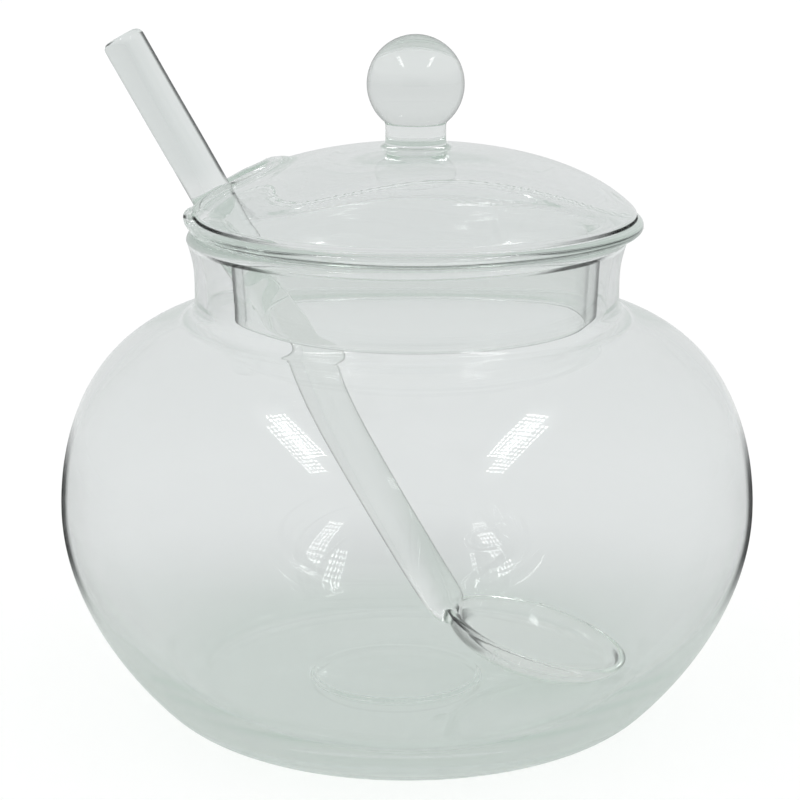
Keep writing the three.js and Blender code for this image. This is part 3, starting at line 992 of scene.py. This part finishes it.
FLOOR_REACH = 3.0
FLOOR_DROP = 0.0001
STRIP_PLACE = (0.235, -0.18, 0.455)
STRIP_SIZE = (0.056, 0.30)
STRIP_LAMPS = (5, 13)
LAMP_RADIUS = 0.34  # as a share of the room that each lamp has
LAMP_STRENGTH = 13
GLOW_STRENGTH = 1.4
GLOW_MARGIN = 0.35
SUN_FROM = (0.43, -0.24, 0.9)
SUN_STRENGTH = 0.8
SUN_SOFTNESS = math.radians(40)
CAMERA_PLACE = (0, -0.3226, 0.1312)
CAMERA_LOOKS_DOWN = 14.53
CAMERA_LENS = 97.74
CAMERA_SENSOR = 36
CAMERA_SHIFT = -0.00875
BOUNCES = 64


def rectangle(name, width, length, reach, material):
    """A flat mesh round the origin. Its sides are twice the reach times its width and length."""
    shares = [(-reach, -reach), (reach, -reach), (reach, reach), (-reach, reach)]
    mesh = bpy.data.meshes.new(name)
    mesh.from_pydata([(x * width, y * length, 0) for x, y in shares], [], [(0, 1, 2, 3)])
    uv = mesh.uv_layers.new(name="UVMap")
    for loop, (x, y) in zip(uv.data, shares):
        loop.uv = (x + 0.5, y + 0.5)
    mesh.materials.append(material)
    return in_scene(name, mesh)


def make_floor():
    floor = rectangle("floor", 1, 1, FLOOR_REACH, floor_material())
    floor.location.z = -FLOOR_DROP


def make_light_strip(side):
    """A strip of small lamps overhead, along Y."""
    strip = rectangle("strip", *STRIP_SIZE, 0.5 + GLOW_MARGIN, light_strip_material("strip"))
    strip.location = (side * STRIP_PLACE[0], *STRIP_PLACE[1:])
    strip.visible_camera = False
    strip.visible_diffuse = False
    strip.visible_shadow = False


def make_sun(side):
    data = bpy.data.lights.new("lamp", "SUN")
    data.energy = SUN_STRENGTH
    data.angle = SUN_SOFTNESS
    lamp = in_scene("lamp", data)
    direction = Vector((side * SUN_FROM[0], *SUN_FROM[1:]))
    lamp.rotation_euler = direction.to_track_quat("Z", "Y").to_euler()
    lamp.visible_glossy = False
    lamp.visible_transmission = False


def make_world():
    """White to the camera. In glass it is pale, greyer overhead and dark behind the camera."""
    world = bpy.data.worlds.new("room")
    bpy.context.scene.world = world
    nodes = Nodes(world)
    way = nodes.split(nodes.add("TexCoord").outputs["Generated"])
    room = nodes.ramp(way["Z"], shaded(SEEN_IN_GLASS, ROOM_SHARES))
    behind, low = nodes.rise(way["Y"], *CARD_BEHIND), nodes.rise(way["Z"], *CARD_TOP)
    room = nodes.blend(nodes.math("MULTIPLY", behind, low), room, CARD_TONE)
    fill = nodes.blend(nodes.rays("Is Camera Ray"), FILL_TONE, WHITE)
    seen = nodes.blend(nodes.after_many(), room, EVEN_TONE)
    colour = nodes.blend(nodes.in_glass(), fill, seen)
    background = nodes.add("Background", {"Color": colour}).outputs["Background"]
    nodes.add("OutputWorld", {"Surface": background})


def make_camera():
    data = bpy.data.cameras.new("camera")
    data.sensor_width = CAMERA_SENSOR
    data.lens = CAMERA_LENS
    data.shift_x = CAMERA_SHIFT
    data.clip_start = 0.01
    data.clip_end = 20
    camera = in_scene("camera", data)
    camera.location = CAMERA_PLACE
    camera.rotation_euler = (math.radians(90 - CAMERA_LOOKS_DOWN), 0, 0)
    bpy.context.scene.camera = camera


def let_light_run():
    """Light that runs along inside a glass wall would turn black with Blender's few bounces."""
    paths = bpy.context.scene.cycles
    paths.max_bounces = BOUNCES
    paths.glossy_bounces = BOUNCES
    paths.transmission_bounces = BOUNCES
    paths.transparent_max_bounces = BOUNCES


let_light_run()
make_camera()
make_world()
make_floor()
for side in (-1, 1):
    make_sun(side)
    make_light_strip(side)

pieces = {
    "jar": (make_jar(), glass("jar_glass", jar_tint_and_painted_shade, JAR_RIPPLE)),
    "lid": (make_lid(), glass("lid_glass", lid_tint_and_painted_shade, LID_RIPPLE)),
    "spoon": (make_spoon(), glass("spoon_glass", spoon_tint_and_painted_shade, SPOON_RIPPLE)),
}
for body, (piece, material) in pieces.items():
    piece.data.materials.append(material)
    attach(piece, body)
    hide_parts(body)

bpy.context.scene.view_settings.view_transform = "Standard"
